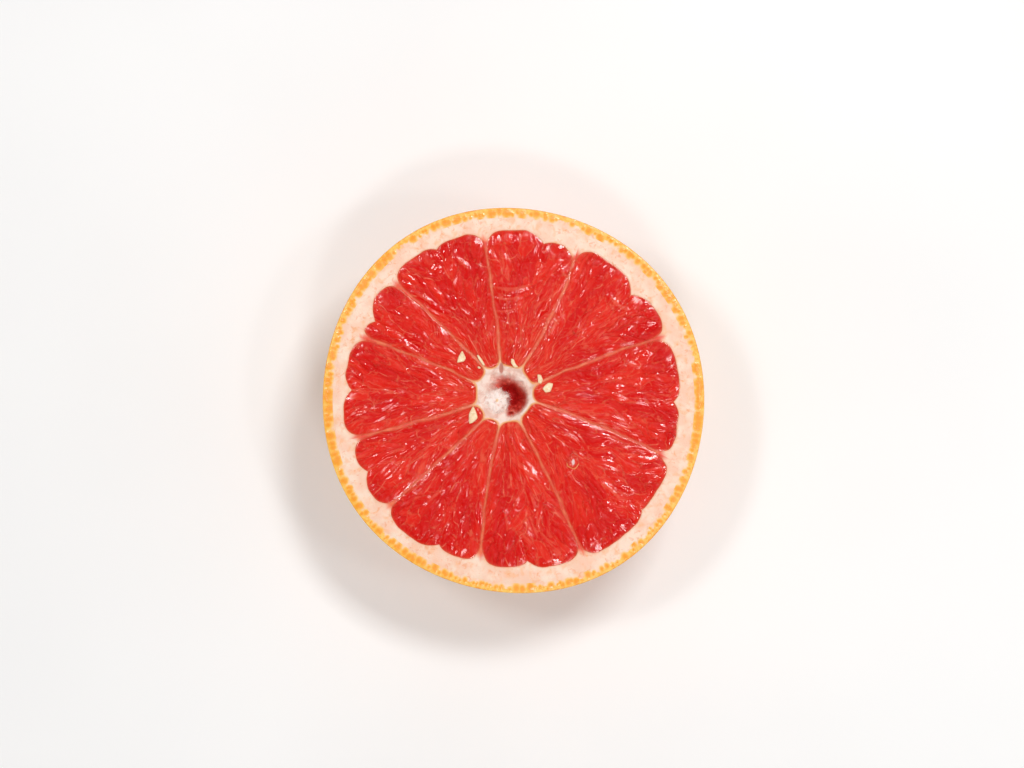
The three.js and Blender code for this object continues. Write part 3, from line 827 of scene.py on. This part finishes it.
def build_fibres(material):
    """Torn threads of the core: three-sided tubes along parabolas that start on the sponge and lean
    over, thinning to a point. Half fringe the mound, half are strewn and lean to the hollow."""
    random = np.random.default_rng(81)
    fringe = (np.arange(FIBRES) < FIBRES // 2)[:, None]
    ray = circle_point(1.0, random.uniform(0, 2 * np.pi, FIBRES))
    strewn = CORE_EDGE * np.sqrt(random.uniform(0.02, 0.98, FIBRES))[:, None] * ray
    on_mound = MOUND_OFFSET + MOUND_RADIUS * random.uniform(0.6, 0.97, FIBRES)[:, None] * ray
    root = np.where(fringe, on_mound, strewn)
    root = np.where((core_height(CORE_CENTRE + root) > FACE - 1.5)[:, None], root, on_mound)
    aim = np.where(fringe, ray, HOLLOW_OFFSET - root)
    aim /= length_of(aim)[:, None]
    lean = turned(aim, random.normal(0, 0.7, FIBRES))
    length = random.uniform(*FIBRE_LENGTHS, FIBRES)[:, None]
    t = np.linspace(0, 1, FIBRE_RINGS)
    flat = (CORE_CENTRE + root)[:, None] + (length * t)[..., None] * lean[:, None]
    base = core_height(CORE_CENTRE + root)[:, None] - 0.05
    path = np.dstack([flat, np.minimum(base + (0.35 * t - 0.5 * t * t) * length, FACE)])
    sideways = np.stack([-lean[:, 1], lean[:, 0], np.zeros(FIBRES)], -1)[:, None, None]
    turn = np.linspace(0, 2 * np.pi, FIBRE_SIDES, endpoint=False)[:, None]
    ring = np.cos(turn) * sideways + np.sin(turn) * np.array([0, 0, 1.0])
    points = path[:, :, None] + (FIBRE_RADIUS * (1 - 0.85 * t))[:, None, None] * ring
    numbers = np.arange(FIBRE_RINGS * FIBRE_SIDES).reshape(FIBRE_RINGS, FIBRE_SIDES)
    last = np.stack([numbers[:-1, -1], numbers[1:, -1], numbers[1:, 0], numbers[:-1, 0]], -1)
    one = np.concatenate([grid_quads(FIBRE_RINGS, FIBRE_SIDES), last])
    quads = one[None] + (np.arange(FIBRES) * numbers.size)[:, None, None]
    add_piece("core_fibres", points, quads.reshape(-1, 4), material, "core")


# Finishes

def linear(code):
    """A colour written as on a paint chart, as the shader's own light values."""
    parts = np.array([int(code[i:i + 2], 16) for i in (1, 3, 5)]) / 255
    values = np.where(parts <= 0.04045, parts / 12.92, ((parts + 0.055) / 1.055) ** 2.4)
    return (*values.tolist(), 1.0)


class Finish:
    """A material put together from nodes. Each method adds a node, gives it numbers, colours or the
    outputs of other nodes, and returns its own output."""

    def __init__(self, name):
        self.material = bpy.data.materials.new(name)
        self.material.use_nodes = True
        self.tree = self.material.node_tree
        self.shader = self.tree.nodes["Principled BSDF"]

    def feed(self, socket, value):
        """Gives an input a link, a colour code or a number."""
        if isinstance(value, bpy.types.NodeSocket):
            self.tree.links.new(value, socket)
        elif isinstance(value, str):
            socket.default_value = linear(value)
        else:
            socket.default_value = value

    def set(self, **values):
        """Feeds the shader's inputs, named with _ for a space."""
        for name, value in values.items():
            self.feed(self.shader.inputs[name.replace("_", " ")], value)

    def attribute(self, name):
        node = self.tree.nodes.new("ShaderNodeAttribute")
        node.attribute_name = name
        return node.outputs

    def value(self, name):
        """A mesh's attribute with one number to a point."""
        return self.attribute(name)["Fac"]

    def vector(self, name, stretch=(1, 1, 1)):
        """A mesh's attribute with a vector to a point, stretched."""
        return self.stretched(self.attribute(name)["Vector"], stretch)

    def stretched(self, vector, stretch):
        mapping = self.tree.nodes.new("ShaderNodeMapping")
        self.feed(mapping.inputs["Vector"], vector)
        mapping.inputs["Scale"].default_value = stretch
        return mapping.outputs["Vector"]

    def millimetres(self):
        """The object's own coordinates in millimetres."""
        place = self.tree.nodes.new("ShaderNodeTexCoord").outputs["Object"]
        return self.stretched(place, (1 / MM, 1 / MM, 1 / MM))

    def cloud(self, place, size, detail=3.0, twist=0.0):
        """Noise from about 0.25 to 0.75 with patches of a size."""
        node = self.tree.nodes.new("ShaderNodeTexNoise")
        self.feed(node.inputs["Vector"], place)
        node.inputs["Scale"].default_value = 1 / size
        node.inputs["Detail"].default_value = detail
        node.inputs["Distortion"].default_value = twist
        return node.outputs["Fac"]

    def range(self, value, low, high, to_low=0.0, to_high=1.0):
        """Carries a value smoothly from low and high onto two other numbers, 0 and 1 unless given."""
        node = self.tree.nodes.new("ShaderNodeMapRange")
        node.interpolation_type = "SMOOTHSTEP"
        for socket, number in zip(node.inputs, (value, low, high, to_low, to_high)):
            self.feed(socket, number)
        return node.outputs["Result"]

    def sum(self, *values):
        return self.combine("ADD", values)

    def product(self, *values):
        return self.combine("MULTIPLY", values)

    def combine(self, operation, values):
        """Adds or multiplies values one after another."""
        result = values[0]
        for value in values[1:]:
            node = self.tree.nodes.new("ShaderNodeMath")
            node.operation = operation
            self.feed(node.inputs[0], result)
            self.feed(node.inputs[1], value)
            result = node.outputs[0]
        return result

    def mix(self, share, first, second):
        """The first colour, with a share of the second over it."""
        node = self.tree.nodes.new("ShaderNodeMix")
        node.data_type = "RGBA"
        self.feed(node.inputs["Factor"], share)
        self.feed(node.inputs[6], first)
        self.feed(node.inputs[7], second)
        return node.outputs[2]

    def bump(self, height, depth, strength):
        """Shades the surface as though it rose by a depth in millimetres where the height is 1."""
        node = self.tree.nodes.new("ShaderNodeBump")
        self.feed(node.inputs["Height"], height)
        node.inputs["Distance"].default_value = depth * MM
        node.inputs["Strength"].default_value = strength
        self.feed(self.shader.inputs["Normal"], node.outputs["Normal"])


def pulp_finish():
    """Wet red vesicles, each in its own tone. Dark veils run along them, with hazy streaks of painted
    sheen, which also paints the loose vesicles paler; pale walls, threads and strands lie between them, and
    the colour warms towards the core and at the edge. The gloss comes from a coat over streaks, grooves,
    ripples and ridges."""
    finish = Finish("pulp_wet_red")
    place = finish.millimetres()
    streaks = finish.cloud(finish.vector("vesicle", (0.2, 1.1, 1.0)), 1.0, 3.0, 0.6)
    grooves = finish.cloud(finish.vector("vesicle", (0.28, 1.5, 1.0)), 1.0, 1.0)
    uneven = finish.cloud(place, 1.6, 3.0)
    depth = finish.value("depth")
    tone = finish.value("tone")
    veil = finish.value("veil")
    colour = finish.mix(finish.range(tone, 0.1, 0.9), "#D80600", "#E42210")
    colour = finish.mix(finish.range(veil, -0.7, 0.0, 0.75, 0.0), colour, "#D20000")
    # painted sheen: pale pink streaks along the vesicles, standing in for the soft reflection of the lamps
    haze = finish.product(finish.range(streaks, 0.45, 0.72), finish.range(veil, -0.1, 0.6, 0.1, 0.8))
    colour = finish.mix(haze, colour, "#EC5A42")
    colour = finish.mix(finish.range(finish.value("core_distance"), 8.0, 26.0, 0.3, 0.0), colour, "#E8381C")
    # painted sheen: the loose vesicles are paler along their ridges, as where they catch the light
    colour = finish.mix(finish.range(finish.value("loose"), 0.13, 0.25, 0.0, 0.3), colour, "#F07C60")
    wall = finish.product(finish.range(finish.value("wall"), 0.01, 0.16, 1.0, 0.0),
                          finish.range(uneven, 0.42, 0.64, 0.0, 0.5))
    colour = finish.mix(wall, colour, "#F07252")
    thread = finish.product(finish.range(finish.value("thread"), 0.02, 0.12, 1.0, 0.0),
                            finish.range(uneven, 0.38, 0.58, 0.3, 0.0))
    colour = finish.mix(thread, colour, "#F07250")
    strand = finish.product(finish.range(finish.value("strand"), 0.02, 0.24, 1.0, 0.0),
                            finish.range(finish.cloud(place, 3.0, 2.0), 0.44, 0.62, 0.0, 0.6))
    colour = finish.mix(strand, colour, "#F48262")
    colour = finish.mix(finish.range(depth, 0.0, 1.1, 0.3, 0.0), colour, "#EA4A2C")
    colour = finish.mix(finish.range(depth, 0.0, 0.4, 0.5, 0.0), colour, "#F07A52")
    finish.set(Base_Color=colour, Roughness=finish.range(streaks, 0.3, 0.75, 0.26, 0.4),
               Subsurface_Weight=0.5, Subsurface_Radius=(1.0, 0.16, 0.08), Subsurface_Scale=2.0 * MM,
               Coat_Weight=0.44, Specular_IOR_Level=0.1,
               Coat_Roughness=finish.range(finish.cloud(place, 3.0, 2.0), 0.42, 0.58, 0.06, 0.18))
    ripples = finish.product(finish.cloud(finish.vector("vesicle", (0.28, 1.5, 1.0)), 0.7, 2.0),
                             finish.range(finish.cloud(place, 2.8, 2.0), 0.52, 0.68, 0.0, 2.6))
    ridge = finish.product(finish.range(finish.value("ridge"), 0.0, 0.32, 1.0, 0.0),
                           finish.range(finish.cloud(place, 3.2, 2.0), 0.46, 0.6))
    grooved = finish.product(grooves, finish.range(finish.cloud(place, 4.5, 2.0), 0.42, 0.6, 0.4, 1.3))
    relief = finish.sum(streaks, grooved, finish.product(uneven, 0.3), ripples,
                        finish.product(strand, 0.3), finish.product(ridge, 0.45))
    finish.bump(relief, 0.13, 0.8)
    return finish.material


def sponge_colour(finish, place):
    """White sponge with pinkish brown where it is more open."""
    open_parts = finish.cloud(place, 2.4, 4.0, 0.5)
    return finish.mix(finish.range(open_parts, 0.34, 0.62), "#E6B4A2", "#F8DCCE")


def pith_colour(finish, place):
    """Pinkish cream with paler clouds and sparse orange-red threads."""
    clouds = finish.cloud(place, 4.5, 4.0)
    flecks = finish.cloud(place, 1.4, 3.0, 1.0)
    where = finish.cloud(place, 3.6, 2.0)
    blush = finish.cloud(place, 2.2, 3.0, 0.4)
    colour = finish.mix(finish.range(clouds, 0.35, 0.65), "#F8C8AD", "#FBDBC5")
    colour = finish.mix(finish.range(blush, 0.5, 0.7, 0.0, 0.6), colour, "#F8B480")
    fleck = finish.product(finish.range(flecks, 0.54, 0.64), finish.range(where, 0.42, 0.6))
    return finish.mix(finish.product(fleck, 0.5), colour, "#F0904E")


def pith_finish():
    """Pith with the membranes, which are red orange, paler in clouds and near the core, and a
    yellowish orange line where the segments end at the core's sponge."""
    finish = Finish("pith_and_membranes")
    place = finish.millimetres()
    outside = finish.value("outside")
    middle = finish.value("near_side")
    from_core = finish.value("core_distance")
    colour = pith_colour(finish, place)
    colour = finish.mix(finish.range(outside, 0.0, 0.55, 0.6, 0.0), colour, "#F8A87C")
    membrane = finish.range(finish.sum(outside, middle), 0.45, 1.5, 1.0, 0.0)
    paler = finish.range(finish.cloud(place, 2.5, 3.0), 0.4, 0.65)
    line = finish.mix(paler, finish.mix(finish.range(middle, 0.03, 0.25), "#EE4424", "#E63014"), "#F06A3C")
    line = finish.mix(finish.range(from_core, 9.5, 15.0, 0.3, 0.0), line, "#F8B08A")
    colour = finish.mix(membrane, colour, line)
    at_core = finish.range(from_core, 8.8, 11.2, 1.0, 0.0)
    sponge = finish.range(outside, 0.12, 0.55)
    rim = finish.mix(sponge, "#F2A060", sponge_colour(finish, place))
    # painted shade in the slit at the core's upper cusp
    rim = finish.mix(finish.range(finish.value("nick"), 0.15, 0.6), rim, NICK_SHADE_COLOUR)
    colour = finish.mix(at_core, colour, rim)
    fine = finish.cloud(place, 0.35, 4.0)
    finish.set(Base_Color=colour, Roughness=finish.range(fine, 0.3, 0.7, 0.42, 0.6),
               Subsurface_Weight=0.25, Subsurface_Radius=(1.0, 0.55, 0.4), Subsurface_Scale=1.2 * MM,
               Coat_Weight=0.15, Coat_Roughness=0.25)
    finish.bump(fine, 0.12, 0.6)
    return finish.material


def cut_skin_finish():
    """The cut skin: yellow orange, fading into the pith along a ragged line, with deeper orange
    glands, each in a pale halo."""
    finish = Finish("cut_skin")
    place = finish.millimetres()
    ragged = finish.cloud(place, 1.2, 3.0)
    depth = finish.sum(finish.value("skin_depth"), finish.range(ragged, 0.25, 0.75, -0.5, 0.5))
    gland = finish.value("gland")
    skin = finish.mix(finish.range(finish.cloud(place, 1.0, 3.0), 0.38, 0.6), "#F8AC2C", "#FBC75A")
    skin = finish.mix(finish.range(depth, 0.0, 0.3, 0.7, 0.0), skin, "#F2901E")
    colour = finish.mix(finish.range(depth, 1.3, 1.95), skin, pith_colour(finish, place))
    drop = finish.mix(finish.range(gland, 0.2, 0.95), "#FA9A1C", "#FDB538")
    colour = finish.mix(finish.range(gland, 1.0, 1.8, 0.4, 0.0), colour, "#FBC868")
    colour = finish.mix(finish.range(gland, 0.7, 1.3, 0.95, 0.0), colour, drop)
    fine = finish.cloud(place, 0.35, 4.0)
    finish.set(Base_Color=colour, Roughness=finish.range(gland, 0.6, 1.1, 0.24, 0.5),
               Subsurface_Weight=0.1, Subsurface_Radius=(1.0, 0.5, 0.2), Subsurface_Scale=0.8 * MM,
               Coat_Weight=0.3, Coat_Roughness=0.15)
    finish.bump(fine, 0.1, 0.5)
    return finish.material


def rind_finish():
    """Waxy skin: yellow orange with deeper orange patches, and a darker dot in every pore."""
    finish = Finish("rind_waxy_orange")
    place = finish.millimetres()
    patches = finish.cloud(place, 30.0, 3.0)
    mottle = finish.cloud(place, 3.5, 3.0)
    pore = finish.value("pore")
    ground = finish.mix(finish.range(patches, 0.38, 0.62), "#FBB63A", "#F48A26")
    ground = finish.mix(finish.range(mottle, 0.35, 0.7, 0.0, 0.35), ground, "#FDC85E")
    dots = finish.mix(finish.range(patches, 0.38, 0.62), "#F08A20", "#E2581A")
    uneven = finish.range(finish.cloud(place, 2.1, 2.0), 0.3, 0.7, 0.45, 1.0)
    colour = finish.mix(finish.product(finish.range(pore, 0.22, 0.58, 1.0, 0.0), uneven), ground, dots)
    fine = finish.cloud(place, 0.5, 3.0)
    finish.set(Base_Color=colour, Roughness=finish.range(mottle, 0.3, 0.7, 0.36, 0.46),
               Subsurface_Weight=0.12, Subsurface_Radius=(1.0, 0.4, 0.15), Subsurface_Scale=1.0 * MM,
               Coat_Weight=0.25, Coat_Roughness=0.3)
    finish.bump(fine, 0.12, 0.5)
    return finish.material


# The hollow's colours, partly the sponge's own pink and red and partly painted shade that deepens with
# depth: how far below the cut each begins and is full
HOLLOW_TINT_AND_SHADE = [
    (0.6, 2.4, "#F0B2A4"), (1.8, 4.2, "#E87868"), (3.6, 6.6, "#D03A2C"), (6.0, 9.2, "#C4120C"),
]
# painted shade: a darker reddish grey in the slit at the core's upper cusp
NICK_SHADE_COLOUR = "#C8806F"


def core_finish():
    """White sponge that turns pink, then dark red as it goes down into the hollow, which is partly its own
    tint and partly painted shade that deepens with depth; whitest on the mound, where it stands high, and
    in spokes round it, with a cream dot in the mound's middle."""
    finish = Finish("core_sponge")
    place = finish.millimetres()
    torn = finish.cloud(place, 0.9, 5.0, 0.8)
    low = finish.sum(finish.value("lowness"), finish.range(torn, 0.25, 0.75, -0.4, 0.4))
    spokes = finish.cloud(finish.vector("spokes"), 0.5, 4.0, 0.4)
    colour = sponge_colour(finish, place)
    # painted shade: the colour darkens with depth into the hollow, over the sponge's own pink and red
    for high, deep, code in HOLLOW_TINT_AND_SHADE:
        colour = finish.mix(finish.range(low, high, deep), colour, code)
    # painted shade in the slit at the core's upper cusp
    colour = finish.mix(finish.range(finish.value("nick"), 0.15, 0.6), colour, NICK_SHADE_COLOUR)
    near_mound = finish.sum(finish.value("mound"), finish.range(torn, 0.3, 0.7, -0.7, 0.7))
    white = finish.product(finish.range(near_mound, 2.4, 4.2, 1.0, 0.0),
                           finish.range(low, 0.4, 2.0, 1.0, 0.0),
                           finish.range(spokes, 0.34, 0.56, 0.3, 1.0))
    colour = finish.mix(white, colour, "#FDECE4")
    dot = finish.sum(finish.value("mound"), finish.range(torn, 0.3, 0.7, -0.15, 0.15))
    colour = finish.mix(finish.range(dot, 0.3, 0.6, 0.9, 0.0), colour, "#FBD098")
    fine = finish.cloud(place, 0.3, 5.0)
    finish.set(Base_Color=colour, Roughness=finish.range(fine, 0.3, 0.7, 0.55, 0.8),
               Subsurface_Weight=0.1, Subsurface_Radius=(1.0, 0.6, 0.5), Subsurface_Scale=0.8 * MM)
    finish.bump(finish.sum(torn, fine), 0.1, 0.6)
    return finish.material


def fibre_finish():
    """Torn sponge: pinkish to nearly white."""
    finish = Finish("core_thread")
    tone = finish.cloud(finish.millimetres(), 0.8, 2.0)
    colour = finish.mix(finish.range(tone, 0.35, 0.65), "#EFC4B4", "#FCE8DE")
    finish.set(Base_Color=colour, Roughness=finish.range(tone, 0.3, 0.7, 0.5, 0.7),
               Subsurface_Weight=0.2, Subsurface_Radius=(1.0, 0.6, 0.5), Subsurface_Scale=0.4 * MM)
    return finish.material


def seed_finish():
    """Cream with tan streaks, browner where the seed is widest."""
    finish = Finish("seed_cream")
    place = finish.millimetres()
    streak = finish.cloud(place, 0.55, 3.0, 1.0)
    tint = finish.range(finish.cloud(place, 1.6, 2.0), 0.4, 0.65)
    colour = finish.mix(finish.range(streak, 0.35, 0.65), "#FFE6C2", "#F2D0A0")
    colour = finish.mix(finish.product(tint, 0.7), colour, "#FFE0B8")
    colour = finish.mix(finish.range(finish.value("edge"), 0.75, 1.0, 0.0, 0.5), colour, "#F0A868")
    finish.set(Base_Color=colour, Roughness=finish.range(streak, 0.3, 0.7, 0.3, 0.5),
               Subsurface_Weight=0.2, Subsurface_Radius=(1.0, 0.7, 0.4), Subsurface_Scale=0.8 * MM,
               Coat_Weight=0.3, Coat_Roughness=0.1)
    finish.bump(streak, 0.15, 0.7)
    return finish.material


def sac_finish():
    """The sac round the last seed: as red and wet as the pulp, with a painted highlight, nearly white,
    through its middle and a yellowish orange brim on its lower side."""
    finish = Finish("seed_sac")
    film = finish.cloud(finish.millimetres(), 1.1, 3.0, 0.8)
    edge = finish.value("edge")
    colour = finish.mix(finish.range(film, 0.35, 0.65), "#DC2414", "#E24834")
    # painted highlight: a near-white patch through the sac's middle
    colour = finish.mix(finish.range(finish.value("shine"), 0.3, 0.75, 0.0, 0.85), colour, "#FBE2DC")
    brim = finish.product(finish.range(edge, 0.75, 0.9), finish.range(finish.value("lower"), 0.0, 0.2))
    colour = finish.mix(brim, colour, "#FFA060")
    finish.set(Base_Color=colour, Roughness=finish.range(film, 0.3, 0.7, 0.2, 0.35),
               Subsurface_Weight=0.5, Subsurface_Radius=(1.0, 0.4, 0.3), Subsurface_Scale=1.0 * MM,
               Coat_Weight=0.4, Coat_Roughness=0.1, Specular_IOR_Level=0.1)
    finish.bump(film, 0.2, 0.7)
    return finish.material


def floor_finish():
    """Matt white, in wide clouds a shade apart."""
    finish = Finish("pale_floor")
    haze = finish.cloud(finish.millimetres(), 120.0, 2.0)
    finish.set(Base_Color=finish.mix(finish.range(haze, 0.3, 0.7), "#F9F8F7", "#FCFBFA"), Roughness=0.55)
    return finish.material


# Floor, light and camera

PIXEL = 0.285  # millimetres of the cut face to a pixel of the picture
PICTURE = (1024, 768)
FRUIT_AT = (513.5, 400.5)  # where the fruit's middle comes in the picture
LENS = 100.0
SENSOR = 36.0
CLIP_END = 10.0  # in metres
FLOOR_HALF = 1500
FLOOR_POINTS = 13  # along each side

# Each lamp: its name, its place from the middle of the cut, its size, and its power in watts
LAMPS = [
    ("key_window", (190, 270, 760), (190, 118), 2.8),
    ("left_window", (-260, 150, 760), (125, 80), 1.1),
    ("low_window", (80, -260, 760), (100, 80), 0.8),
    ("right_window", (330, -60, 720), (80, 50), 0.4),
    ("left_fill", (-700, -200, 250), (600, 420), 1.0),
    ("right_fill", (700, -160, 250), (600, 420), 1.0),
    ("back_fill", (-60, 760, 250), (600, 420), 1.0),
    ("front_fill", (60, -760, 250), (600, 420), 1.0),
]
SKY_STRENGTH = 0.18


def build_floor():
    """A flat square grid under the fruit."""
    side = np.linspace(-FLOOR_HALF, FLOOR_HALF, FLOOR_POINTS)
    points = np.stack(np.meshgrid(side, side, [0.0], indexing="ij"), -1).reshape(-1, 3)
    mesh = bpy.data.meshes.new("floor")
    mesh.from_pydata((points * MM).tolist(), [], grid_quads(FLOOR_POINTS, FLOOR_POINTS).tolist())
    mesh.materials.append(floor_finish())
    floor = bpy.data.objects.new("floor", mesh)
    bpy.context.collection.objects.link(floor)


def add_light(name, place, size, power):
    """A rectangular lamp that faces the middle of the cut."""
    lamp = bpy.data.lights.new(name, "AREA")
    lamp.shape = "RECTANGLE"
    lamp.size, lamp.size_y = size[0] * MM, size[1] * MM
    lamp.energy = power
    light = bpy.data.objects.new(name, lamp)
    light.location = Vector(place) * MM + Vector((0, 0, FACE * MM))
    light.rotation_euler = (-Vector(place)).to_track_quat("-Z", "Y").to_euler()
    bpy.context.collection.objects.link(light)


def add_sky():
    """An even white glow from all round."""
    world = bpy.data.worlds.new("studio")
    world.use_nodes = True
    glow = world.node_tree.nodes["Background"].inputs
    glow["Color"].default_value = linear("#FFFFFF")
    glow["Strength"].default_value = SKY_STRENGTH
    bpy.context.scene.world = world


def add_camera():
    """Straight above the cut, with the picture's up along +Y, so far off that a pixel covers its
    share of the face."""
    camera_data = bpy.data.cameras.new("camera")
    camera_data.lens = LENS
    camera_data.sensor_width = SENSOR
    camera = bpy.data.objects.new("camera", camera_data)
    distance = PICTURE[0] * PIXEL * LENS / SENSOR
    right = (PICTURE[0] / 2 - FRUIT_AT[0]) * PIXEL
    up = (FRUIT_AT[1] - PICTURE[1] / 2) * PIXEL
    camera.location = Vector((right, up, FACE + distance)) * MM
    camera_data.clip_end = CLIP_END
    bpy.context.collection.objects.link(camera)
    bpy.context.scene.camera = camera


def build_fruit():
    """Every piece of the half, each with its finish."""
    pulp = pulp_finish()
    for k in SEGMENTS:
        build_pulp(k, pulp)
    build_pith(pith_finish())
    build_core(core_finish())
    build_fibres(fibre_finish())
    build_cut_band(cut_skin_finish())
    build_rind(rind_finish())
    seed = seed_finish()
    sac = sac_finish()
    for number in range(len(SEEDS)):
        build_seed(number, sac if number == SAC else seed)


bpy.context.scene.view_settings.view_transform = "Standard"
build_fruit()
build_floor()
for lamp in LAMPS:
    add_light(*lamp)
add_sky()
add_camera()
